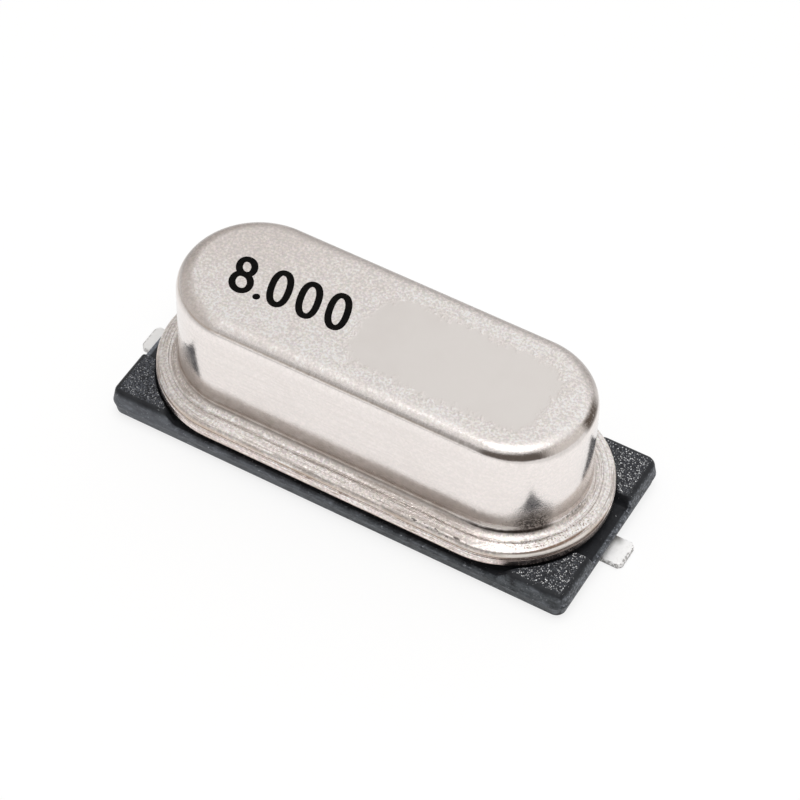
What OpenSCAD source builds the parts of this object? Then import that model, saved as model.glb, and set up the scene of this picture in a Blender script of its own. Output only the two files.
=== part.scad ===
// Low-profile quartz crystal for surface mounting: a welded steel can on a moulded plastic plate.
// Millimetres. Z = 0 is the circuit board, the long way is X, and the origin is the middle of the part.

/* [Can] */
// Length of the can over its wall
can_length = 9.87; // [9.2:0.01:10.6]
// Width of the can over its wall
can_width = 3.57; // [3.4:0.01:3.9]
// Height of the can above the weld
can_height = 2.84; // [2.6:0.02:3.4]
// Thickness of the drawn sheet
sheet = 0.22; // [0.18:0.01:0.26]
// Outside radius round the crown
crown_radius = 0.4; // [0.3:0.01:0.6]
// Radius of the flare where the wall turns out into the flange
flare_radius = 0.22; // [0.14:0.01:0.28]
// How far the flange stands out from the wall
flange_reach = 0.51; // [0.45:0.01:0.6]
// Radius on the flange's upper edge
flange_edge_radius = 0.08; // [0.04:0.01:0.12]

/* [Header] */
// Thickness of the header's flange
header_flange = 0.25; // [0.2:0.01:0.3]
// How far the header's flange stands out past the cover's
seam_step = 0.01; // [0:0.01:0.05]
// Radius on the header flange's edges
header_edge_radius = 0.06; // [0.02:0.01:0.09]
// Height of the header's platform above the weld
platform_height = 0.4; // [0.25:0.01:0.6]
// Gap between the platform and the can's wall
platform_gap = 0.06; // [0.03:0.01:0.1]
// Depth of the header's foot below its flange
foot_height = 0.28; // [0.2:0.01:0.35]
// How far the foot is set in from the platform's edge
foot_inset = 0.16; // [0.1:0.01:0.3]
// Diameter of each glass seal
glass_diameter = 1.2; // [1:0.05:1.5]
// Height that the glass climbs up its lead
glass_meniscus = 0.08; // [0.04:0.01:0.12]

/* [Plastic plate] */
// How far the plate stands out past the flange at each end
plate_end_margin = 0.26; // [0.15:0.01:0.4]
// How far the flange overhangs the plate at each side
plate_side_overhang = 0.01; // [0:0.01:0.06]
// Height of the four corner pads above the plate's underside
pad_height = 0.7; // [0.6:0.01:0.74]
// Height of the oval recess's floor above the plate's underside
floor_height = 0.4; // [0.36:0.01:0.5]
// Height of the mould's parting line above the plate's underside
parting_height = 0.32; // [0.2:0.01:0.36]
// How far the sides lean in above the parting line, by the top
upper_draft = 0.04; // [0.02:0.01:0.06]
// How far the sides lean in below the parting line, by the underside
lower_draft = 0.06; // [0.02:0.01:0.08]
// Radius of the plate's upright corners
plate_corner_radius = 0.3; // [0.22:0.01:0.4]
// Radius on the plate's top edge
plate_edge_radius = 0.1; // [0.05:0.01:0.12]
// Space all round between the flange and the recess's rim
recess_gap = 0.06; // [0.05:0.01:0.12]
// Width of the channel that opens the recess through the middle of each end
channel_width = 1.94; // [1.2:0.02:2.6]
// Length over which the recess is open along each side
side_opening = 8.4; // [7.6:0.05:9]
// How far the recess's walls lean in from the rim to the floor
recess_slope = 0.14; // [0.06:0.01:0.2]

/* [Leads] */
// Distance between the two leads
lead_pitch = 4.88; // [4.7:0.02:5]
// Diameter of the round wire
wire_diameter = 0.43; // [0.4:0.01:0.48]
// Width of the flattened tab
tab_width = 0.72; // [0.6:0.01:0.8]
// Thickness of the flattened tab
tab_thickness = 0.18; // [0.15:0.01:0.2]
// How far each tab sticks out past the plate
tab_reach = 0.4; // [0.3:0.02:0.6]
// Size of the cut corners at the tab's tip
tab_corner = 0.08; // [0.04:0.01:0.14]
// Inside radius of the bend under the plate
bend_radius = 0.1; // [0.08:0.01:0.12]
// Length over which the round wire is pressed flat
flattening = 0.18; // [0.12:0.02:0.24]
// Height of the plate's underside above the board
stand_off = 0.12; // [0.1:0.01:0.14]
// Space round each lead in its slot and its groove
lead_gap = 0.04; // [0.02:0.01:0.06]
// Height of each lead's head above the platform
head_rise = 0.36; // [0.3:0.01:0.45]
// Diameter of each lead's head
head_diameter = 0.8; // [0.7:0.02:1]
// Thickness of each lead's head
head_thickness = 0.12; // [0.1:0.01:0.16]

/* [Quartz and its mounting] */
// Space between each spring's stop and the end of the can's cavity
end_clearance = 0.555; // [0.45:0.005:0.8]
// Width of the quartz strip
blank_width = 1.8; // [1.5:0.05:1.9]
// Thickness of the quartz strip
blank_thickness = 0.2; // [0.14:0.01:0.26]
// Height of the strip's seat above the leads' heads
seat_rise = 0.5; // [0.35:0.05:0.7]
// Thickness of the spring sheet
clip_sheet = 0.08; // [0.06:0.01:0.1]
// Length of the seat under the strip's end
seat_length = 0.7; // [0.5:0.05:0.8]
// Width of the spring foot and riser
clip_strap = 0.9; // [0.7:0.05:1.1]
// Height of the stop and the cheeks above the seat
cheek_height = 0.3; // [0.24:0.01:0.4]
// Space between the strip and the clip's stop and cheeks
blank_gap = 0.08; // [0.05:0.01:0.12]
// Length of each electrode's field
electrode_length = 3.6; // [3:0.1:4.4]
// Width of each electrode's field
electrode_width = 1.3; // [1:0.05:1.4]
// Width of the tab that runs from the field to the strip's end
electrode_tab = 0.5; // [0.3:0.05:0.6]
// Thickness of the silver film
film = 0.02; // [0.02:0.01:0.03]
// Diameter of each dot of adhesive
dot_diameter = 0.84; // [0.7:0.02:1]
// How far each dot's middle is set in from the strip's end
dot_inset = 0.12; // [0.06:0.02:0.2]
// Height of each dot above the strip
dot_rise = 0.16; // [0.1:0.01:0.22]

/* [Hidden] */
$fn = 96;
over = 0.5; // how far a cutting shape runs past what it cuts

// Every oval outline has its two end centres this far apart
oval_straight = can_length - can_width;
wall_radius = can_width / 2;
flange_radius = wall_radius + flange_reach;
header_radius = flange_radius + seam_step;
cavity_radius = wall_radius - sheet;
platform_radius = cavity_radius - platform_gap;
foot_radius = platform_radius - foot_inset;
flange_length = oval_straight + 2 * flange_radius;
flange_width = 2 * flange_radius;

// Heights, from the board up
plate_bottom = stand_off;
recess_floor = plate_bottom + floor_height;
pad_top = plate_bottom + pad_height;
foot_bottom = recess_floor;
flange_bottom = foot_bottom + foot_height;
weld = flange_bottom + header_flange;
platform_top = weld + platform_height;
can_top = weld + can_height;
head_top = platform_top + head_rise;
seat_top = head_top + seat_rise;
blank_bottom = seat_top + film;
blank_top = blank_bottom + blank_thickness;

// The plate and its recess, which follow the flange
plate_length = flange_length + 2 * plate_end_margin;
plate_width = flange_width - 2 * plate_side_overhang;
recess_radius = flange_radius + recess_gap;
slot_length = tab_width + 2 * lead_gap;
slot_width = wire_diameter + 2 * lead_gap;

// Where each lead and its tab lie
lead_x = lead_pitch / 2;
bend_centre_x = lead_x + tab_thickness / 2 + bend_radius;
tip_x = plate_length / 2 + tab_reach;

// The seat under each end of the strip, which the can's cavity sets
stop_x = oval_straight / 2 + cavity_radius - end_clearance - clip_sheet;
blank_length = 2 * (stop_x - blank_gap);
seat_x = blank_length / 2 - seat_length;
seat_width = blank_width + 2 * blank_gap;
clip_foot_x = lead_x - head_diameter / 2;

// A square whose outer top corner is rounded
module crowned(width, height, radius) {
    difference() {
        square([width, height]);
        translate([width - radius, height - radius])
            difference() {
                square(radius + over);
                circle(radius);
            }
    }
}

// The web of sheet left between a wall at x = 0 and a flange at y = 0
module flare(radius) {
    difference() {
        square(radius);
        translate([radius, radius]) circle(radius);
    }
}

// Sweeps an edge profile round an oval: x is the distance from the line between the end centres
module oval(straight) {
    for (side = [-1, 1])
        translate([side * straight / 2, 0, 0])
            rotate([0, 0, -90 * side]) rotate_extrude(angle = 180) children();
    translate([-straight / 2, 0, 0])
        rotate([90, 0, 90]) linear_extrude(straight) {
            children();
            mirror([1, 0]) children();
        }
}

// Sweeps an edge profile round a rectangle with rounded corners: x runs out from the corner centres
module plate(length, width, radius, height) {
    core = [length - 2 * radius, width - 2 * radius];
    translate([-core[0] / 2, -core[1] / 2, 0]) cube([core[0], core[1], height]);
    for (x = [-1, 1], y = [-1, 1])
        translate([x * core[0] / 2, y * core[1] / 2, 0]) rotate_extrude() children();
    for (turn = [0, 180])
        rotate([0, 0, turn]) {
            translate([core[0] / 2, core[1] / 2, 0]) rotate([90, 0, 0]) linear_extrude(core[1]) children();
            translate([-core[0] / 2, core[1] / 2, 0]) rotate([90, 0, 90]) linear_extrude(core[0]) children();
        }
}

// The plate's edge: it leans in both ways from the parting line, and its top edge is rounded
module plate_edge() {
    top_edge = plate_corner_radius - upper_draft;
    difference() {
        polygon([
            [0, 0],
            [plate_corner_radius - lower_draft, 0],
            [plate_corner_radius, parting_height],
            [top_edge, pad_height],
            [0, pad_height]
        ]);
        translate([top_edge - plate_edge_radius, pad_height - plate_edge_radius])
            difference() {
                square(plate_edge_radius + over);
                circle(plate_edge_radius);
            }
    }
}

// Half the section of a trough whose wall leans out from the floor to the pads' top
module trough(half_width) {
    pad_rise = pad_height - floor_height;
    polygon([
        [0, 0],
        [half_width - recess_slope, 0],
        [half_width, pad_rise],
        [half_width, pad_rise + over],
        [0, pad_rise + over]
    ]);
}

// A straight trough along X, through the whole plate and out of both ends
module channel(width, length) {
    translate([-length / 2 - over, 0, 0])
        rotate([90, 0, 90]) linear_extrude(length + 2 * over) {
            trough(width / 2);
            mirror([1, 0]) trough(width / 2);
        }
}

// The oval recess that the header lies in, open through the ends and along the sides
module recess() {
    translate([0, 0, recess_floor]) {
        oval(oval_straight) trough(recess_radius);
        channel(channel_width, plate_length);
        rotate([0, 0, 90]) channel(side_opening, plate_width);
    }
}

// The slot that a lead comes down through, and the groove that its tab lies in
module lead_way() {
    groove_top = tab_thickness + lead_gap;
    translate([lead_x - slot_width / 2, -slot_length / 2, 0])
        cube([slot_width, slot_length, pad_top]);
    translate([lead_x, -slot_length / 2, 0])
        cube([plate_length, slot_length, groove_top]);
}

module insulator_base() {
    color([0.13, 0.13, 0.14])
        difference() {
            translate([0, 0, plate_bottom])
                plate(plate_length, plate_width, plate_corner_radius, pad_height) plate_edge();
            recess();
            lead_way();
            mirror([1, 0, 0]) lead_way();
        }
}

module header_plate() {
    color([0.72, 0.71, 0.69])
        difference() {
            union() {
                translate([0, 0, foot_bottom])
                    oval(oval_straight) square([foot_radius, foot_height + header_flange]);
                translate([0, 0, flange_bottom])
                    oval(oval_straight) crowned(header_radius, header_flange, header_edge_radius);
                translate([0, 0, weld])
                    oval(oval_straight) square([platform_radius, platform_height]);
            }
            for (side = [-1, 1])
                translate([side * lead_x, 0, foot_bottom - over])
                    cylinder(d = glass_diameter, h = platform_top - foot_bottom + 2 * over);
        }
}

module can_cover() {
    inner_flare = flare_radius + sheet;
    color([0.82, 0.81, 0.79])
        translate([0, 0, weld])
            difference() {
                union() {
                    oval(oval_straight) crowned(wall_radius, can_height, crown_radius);
                    oval(oval_straight) crowned(flange_radius, sheet, flange_edge_radius);
                    translate([0, 0, sheet])
                        oval(oval_straight) {
                            translate([wall_radius, 0]) flare(flare_radius);
                            square([wall_radius, flare_radius]);
                        }
                }
                translate([0, 0, -over])
                    oval(oval_straight) square([cavity_radius, over]);
                oval(oval_straight) {
                    crowned(cavity_radius, can_height - sheet, crown_radius - sheet);
                    translate([cavity_radius, 0]) flare(inner_flare);
                }
            }
}

// Glass between the header's hole and the lead, with the meniscus that creeps up the lead
module glass_seal() {
    color([0.25, 0.32, 0.36])
        translate([lead_x, 0, foot_bottom])
            rotate_extrude() {
                translate([wire_diameter / 2, 0])
                    square([(glass_diameter - wire_diameter) / 2, platform_top - foot_bottom]);
                translate([wire_diameter / 2, platform_top - foot_bottom]) flare(glass_meniscus);
            }
}

module glass_seal_right() {
    glass_seal();
}

module glass_seal_left() {
    mirror([1, 0, 0]) glass_seal();
}

// One lead: its head inside the can, the wire through the glass, the bend and the flattened tab
module lead() {
    bend_top = tab_thickness + bend_radius;
    color([0.8, 0.8, 0.8]) {
        translate([lead_x, 0, bend_top + flattening])
            cylinder(d = wire_diameter, h = head_top - bend_top - flattening);
        translate([lead_x, 0, bend_top])
            cylinder(d1 = tab_thickness, d2 = wire_diameter, h = flattening);
        translate([lead_x - tab_thickness / 2, 0, bend_top])
            rotate([90, 0, 90])
                linear_extrude(tab_thickness)
                    polygon([
                        [-tab_width / 2, 0],
                        [tab_width / 2, 0],
                        [wire_diameter / 2, flattening],
                        [-wire_diameter / 2, flattening]
                    ]);
        translate([lead_x, 0, head_top - head_thickness])
            cylinder(d = head_diameter, h = head_thickness);
        translate([bend_centre_x, tab_width / 2, bend_top])
            rotate([90, 180, 0])
                rotate_extrude(angle = 90) translate([bend_radius, 0]) square([tab_thickness, tab_width]);
        linear_extrude(tab_thickness)
            polygon([
                [bend_centre_x, -tab_width / 2],
                [tip_x - tab_corner, -tab_width / 2],
                [tip_x, -tab_width / 2 + tab_corner],
                [tip_x, tab_width / 2 - tab_corner],
                [tip_x - tab_corner, tab_width / 2],
                [bend_centre_x, tab_width / 2]
            ]);
    }
}

module lead_right() {
    lead();
}

module lead_left() {
    mirror([1, 0, 0]) lead();
}

// One folded spring: a foot on the lead's head, a riser, a seat, a stop and two cheeks
module mount_clip() {
    riser_x = seat_x;
    seat_bottom = seat_top - clip_sheet;
    color([0.75, 0.74, 0.7]) {
        translate([clip_foot_x, -clip_strap / 2, head_top])
            cube([riser_x - clip_foot_x + clip_sheet, clip_strap, clip_sheet]);
        translate([riser_x, -clip_strap / 2, head_top])
            cube([clip_sheet, clip_strap, seat_rise]);
        translate([riser_x, -seat_width / 2, seat_bottom])
            cube([stop_x - riser_x + clip_sheet, seat_width, clip_sheet]);
        translate([stop_x, -clip_strap / 2, seat_bottom])
            cube([clip_sheet, clip_strap, clip_sheet + cheek_height]);
        for (side = [-1, 1])
            translate([seat_x, side * (seat_width + clip_sheet) / 2 - clip_sheet / 2, seat_bottom])
                cube([seat_length, clip_sheet, clip_sheet + cheek_height]);
    }
}

module mount_clip_right() {
    mount_clip();
}

module mount_clip_left() {
    mirror([1, 0, 0]) mount_clip();
}

module quartz_blank() {
    color([0.85, 0.9, 0.93, 0.5])
        translate([-blank_length / 2, -blank_width / 2, blank_bottom])
            cube([blank_length, blank_width, blank_thickness]);
}

// One silver film: the field in the middle and the tab that runs to one end
module electrode() {
    color([0.88, 0.88, 0.86]) {
        translate([-electrode_length / 2, -electrode_width / 2, 0])
            cube([electrode_length, electrode_width, film]);
        translate([0, -electrode_tab / 2, 0])
            cube([blank_length / 2, electrode_tab, film]);
    }
}

module electrode_top() {
    translate([0, 0, blank_top]) mirror([1, 0, 0]) electrode();
}

module electrode_bottom() {
    translate([0, 0, blank_bottom - film]) electrode();
}

// A dot of conductive adhesive that wraps the strip's end and fills the way to the stop
module dot() {
    dot_radius = dot_diameter / 2;
    cap_radius = (dot_radius * dot_radius + dot_rise * dot_rise) / (2 * dot_rise);
    shoulder = blank_top - seat_top;
    color([0.62, 0.62, 0.6])
        intersection() {
            translate([blank_length / 2 - dot_inset, 0, seat_top])
                rotate_extrude() {
                    square([dot_radius, shoulder]);
                    intersection() {
                        translate([0, shoulder + dot_rise - cap_radius]) circle(cap_radius);
                        translate([0, shoulder]) square([dot_radius, dot_rise]);
                    }
                }
            translate([0, -can_width, 0]) cube([stop_x, 2 * can_width, can_top]);
        }
}

module adhesive_right() {
    difference() {
        dot();
        quartz_blank();
        electrode_bottom();
    }
}

module adhesive_left() {
    difference() {
        mirror([1, 0, 0]) dot();
        quartz_blank();
        electrode_top();
    }
}

insulator_base();
header_plate();
can_cover();
glass_seal_left();
glass_seal_right();
lead_left();
lead_right();
mount_clip_left();
mount_clip_right();
quartz_blank();
electrode_top();
electrode_bottom();
adhesive_left();
adhesive_right();
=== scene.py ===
import itertools
import math

import bmesh
import bpy
from mathutils import Matrix, Quaternion, Vector


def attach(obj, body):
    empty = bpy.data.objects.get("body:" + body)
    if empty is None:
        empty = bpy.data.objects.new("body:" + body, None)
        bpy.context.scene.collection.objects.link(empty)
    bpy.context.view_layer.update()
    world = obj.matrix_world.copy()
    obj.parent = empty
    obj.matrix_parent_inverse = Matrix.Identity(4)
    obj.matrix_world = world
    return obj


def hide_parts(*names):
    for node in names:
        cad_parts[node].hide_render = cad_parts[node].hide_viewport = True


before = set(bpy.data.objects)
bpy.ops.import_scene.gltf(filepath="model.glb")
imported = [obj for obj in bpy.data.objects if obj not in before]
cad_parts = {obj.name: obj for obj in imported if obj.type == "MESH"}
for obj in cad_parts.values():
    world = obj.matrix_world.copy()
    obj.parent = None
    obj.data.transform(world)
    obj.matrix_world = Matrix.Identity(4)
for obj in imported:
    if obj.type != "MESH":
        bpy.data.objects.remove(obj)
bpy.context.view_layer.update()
mm = 0.001


class Sock:
    # One output socket. Plain maths on it adds Math nodes, in shaders and in geometry alike.
    def __init__(self, tree, out=None):
        self.tree = tree
        self.out = out

    def node(self, kind, inputs=None, output=0, **settings):
        made = self.tree.nodes.new(kind)
        for name, value in settings.items():
            setattr(made, name, value)
        for key, value in (inputs or {}).items():
            if isinstance(value, Sock):
                self.tree.links.new(value.out, made.inputs[key])
            elif value is not None:
                made.inputs[key].default_value = value
        return Sock(self.tree, made.outputs[output])

    def end(self, kind, label, what):
        self.tree.links.new(what.out, self.tree.nodes.new(kind).inputs[label])

    def maths(self, operation, *values):
        return self.node("ShaderNodeMath", dict(enumerate(values)), operation=operation)

    def vector(self, operation, other=None, scale=None, output=0):
        values = {0: self, 1: other, "Scale": scale}
        return self.node("ShaderNodeVectorMath", values, output, operation=operation)

    def __abs__(self):
        return self.maths("ABSOLUTE", self)

    def held(self, low, high):
        return self.maths("MINIMUM", self.maths("MAXIMUM", self, low), high)

    # 0 below low, 1 above high, smooth between; falls instead where low is above high.
    # With two more numbers it falls again from wane to end.
    def between(self, low, high, wane=None, end=None):
        if wane is not None:
            return self.between(low, high) * self.between(end, wane)
        if low > high:
            return 1.0 - self.between(high, low)
        values = {"Value": self, "From Min": low, "From Max": high}
        return self.node("ShaderNodeMapRange", values, interpolation_type="SMOOTHSTEP")


for name, kind in {"add": "ADD", "sub": "SUBTRACT", "mul": "MULTIPLY", "truediv": "DIVIDE"}.items():
    setattr(Sock, f"__{name}__", lambda one, two, kind=kind: one.maths(kind, one, two))
    setattr(Sock, f"__r{name}__", lambda one, two, kind=kind: one.maths(kind, two, one))


def axes(point):
    # The three numbers of a vector socket
    return [point.node("ShaderNodeSeparateXYZ", {0: point}, k) for k in range(3)]


def joined(s, x, y, z):
    return s.node("ShaderNodeCombineXYZ", {0: x, 1: y, 2: z})


def noise(s, where, scale, detail=2.0, rough=0.5, output=0):
    values = {"Vector": where, "Scale": scale, "Detail": detail, "Roughness": rough}
    return s.node("ShaderNodeTexNoise", values, output)


def cells(s, where, scale, output, feature="F1"):
    values = {"Vector": where, "Scale": scale}
    return s.node("ShaderNodeTexVoronoi", values, output, feature=feature)


def drawn(s, place, detail, rough):
    # Noise over three numbers of its own, which stretches it
    return noise(s, joined(s, *place), 1.0, detail, rough)


def blendColour(s, amount, first, second, kind="MIX"):
    # Sockets 0, 6 and 7 of a colour Mix node are its factor and its two colours
    one, two = [c if isinstance(c, Sock) else (*c, 1.0) for c in (first, second)]
    values = {0: amount, 6: one, 7: two}
    return s.node("ShaderNodeMix", values, 2, data_type="RGBA", blend_type=kind)


class Coat:
    # A colour that takes one tone of its finish after another
    def __init__(self, s, tones, colour):
        self.s = s
        self.tones = tones
        self.colour = colour

    def add(self, amount, tone):
        self.colour = blendColour(self.s, amount, self.colour, self.tones[tone])


oval = {"straight": 6.3, "wallRadius": 1.785, "flangeRadius": 2.295, "headerRadius": 2.305}
plateSize = {"length": 11.41, "width": 4.57}


def ovalAway(s, x, y):
    # Distance from the line between the oval's two end centres
    beyond = s.maths("MAXIMUM", abs(x) - oval["straight"] / 2, 0.0)
    return s.maths("SQRT", beyond * beyond + y * y)


def ovalTurn(s, x, y):
    # Angle round the end centre at positive x, 0 toward the front and growing toward the tip
    return s.maths("ARCTAN2", x - oval["straight"] / 2, 0.0 - y)


def zoned(axis, zones):
    # Each zone's share: the product of its fades along the axes that it names
    share = {}
    for zone, spans in zones.items():
        for name, span in spans.items():
            part = axis[name].between(*span)
            share[zone] = share[zone] * part if zone in share else part
    return share


def emptyTree(owner):
    owner.use_nodes = True
    owner.node_tree.nodes.clear()
    return Sock(owner.node_tree)


def startFinish(name):
    # A new material with the object's own coordinates in millimetres
    made = bpy.data.materials.new(name)
    s = emptyTree(made)
    place = s.node("ShaderNodeTexCoord", output="Object").vector("SCALE", scale=1 / mm)
    return made, s, place, *axes(place)


def endFinish(made, coat, metallic, rough, height):
    # Joins the Principled shader and its bump, whose height counts in units of the grain's depth
    s, v = coat.s, coat.tones
    bump = {"Distance": v["grainDepth"] * mm, "Height": height}
    values = {"Base Color": coat.colour, "Metallic": metallic, "Roughness": rough}
    values["Normal"] = s.node("ShaderNodeBump", bump)
    values.update({"Specular IOR Level": v.get("specular"), "IOR": v.get("index")})
    values["Transmission Weight"] = v.get("clear")
    s.end("ShaderNodeOutputMaterial", "Surface", s.node("ShaderNodeBsdfPrincipled", values))
    return made


canFinish = {
    "plate": (0.95, 0.895, 0.868),
    "patch": (0.87, 0.83, 0.80),
    "dull": (0.70, 0.64, 0.605),
    "paintedRearShade": (0.30, 0.26, 0.24),
    "paintedCrownStreak": (0.12, 0.09, 0.07),
    "paintedHighlight": (0.97, 0.93, 0.88),
    "foot": (0.53, 0.48, 0.445),
    "straw": (0.66, 0.54, 0.44),
    "brown": (0.26, 0.17, 0.12),
    "pit": (0.05, 0.035, 0.03),
    "paintedFootReflection": (0.10, 0.09, 0.085),
    "topRoughness": 0.33,
    "wallRoughness": 0.13,
    "flangeRoughness": 0.42,
    "speckle": 0.5,
    "grainDepth": 0.0045,
    "patchMiddle": (1.72, -0.04),
    "patchHalf": (1.64, 0.45),
}

# Where each tone lies, in mm and in radians round the right end. A zone fades in from its
# first number to its second, and out again from its third to its fourth.
canZones = {
    "top": {"z": (3.72, 3.85)},
    "crown": {"z": (3.48, 3.56, 3.84, 3.885)},
    "smooth": {"away": (1.28, 1.55), "y": (0.0, -0.5)},
    "shade": {"x": (1.0, -4.5), "y": (-1.4, 1.5)},
    "paintedRearShade": {"away": (1.32, 1.66), "z": (3.6, 3.7)},
    "rearLeft": {"x": (-3.0, -3.8), "away": (1.68, 1.60)},
    "paintedCrownStreak": {"turn": (1.45, 1.62, 1.85, 2.2), "away": (1.55, 1.65), "z": (3.6, 3.7)},
    "paintedCrownLine": {"x": (3.4, 1.5), "y": (0.2, -0.4)},
    "wall": {"z": (3.5, 3.4)},
    "corner": {"turn": (0.40, 0.68, 0.88, 1.06)},
    "foot": {"away": (1.87, 1.81)},
    "footLighter": {"turn": (-0.4, 0.0, 2.2, 2.9), "z": (1.58, 1.53)},
    "deep": {"z": (1.52, 1.46), "away": (1.84, 1.81)},
    "paintedFootReflection": {"away": (1.87, 1.80)},
    "flange": {"z": (1.42, 1.30)},
    "fresh": {"x": (2.9, 4.0), "y": (0.3, -0.7)},
    "middle": {"away": (1.98, 2.04, 2.14, 2.20)},
    "bright": {"turn": (0.32, 0.5, 1.1, 1.3), "away": (2.12, 2.08)},
    "dots": {"turn": (0.1, 0.5, 1.3, 1.7), "away": (1.96, 2.0, 2.16, 2.2)},
    "front": {"x": (-0.4, 0.8, 3.2, 4.0), "y": (-1.5, -1.9)},
    "black": {"away": (1.79, 1.80, 1.82, 1.845), "z": (1.45, 1.43)},
    "blackWhole": {"turn": (-0.25, 0.1, 0.85, 1.1)},
    "blackBroken": {"turn": (1.1, 1.25, 1.5, 1.7)},
    "hollow": {"away": (1.83, 1.86, 1.89, 1.93), "z": (1.46, 1.38)},
    "line": {"away": (2.2, 2.22), "turn": (0.3, 0.55, 1.2, 1.5)},
    "edge": {"z": (1.10, 1.12, 1.18, 1.205), "away": (2.25, 2.27), "turn": (0.32, 0.5, 1.2, 1.4)},
    "shine": {"z": (1.435, 1.46, 1.51, 1.54), "turn": (0.02, 0.2, 0.5, 0.72)},
    "rim": {"z": (1.185, 1.205, 1.235, 1.25), "away": (2.24, 2.27)},
    "pit": {"away": (2.18, 2.21, 2.26, 2.28), "x": (1.5, 2.2, 3.0, 3.6), "y": (0.0, -1.0)},
    "heat": {"z": (1.24, 1.12), "away": (2.24, 2.29)},
    "seam": {"z": (1.055, 1.075, 1.085, 1.11), "away": (2.262, 2.285)},
}


def speckled(s, place, colour, size, amount):
    # Lightens and darkens a colour in small specks, each a little off in tint
    level = noise(s, place, size, 2.0, 0.6).between(0.38, 0.74) * 0.62 - 0.30
    tint = noise(s, place, size, 2.0, 0.6, "Color").vector("SCALE", scale=0.3)
    tint = tint.vector("ADD", joined(s, level, level, level)).vector("SCALE", scale=amount)
    return blendColour(s, 1.0, colour, tint.vector("ADD", (1.0, 1.0, 1.0)), "MULTIPLY")


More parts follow.
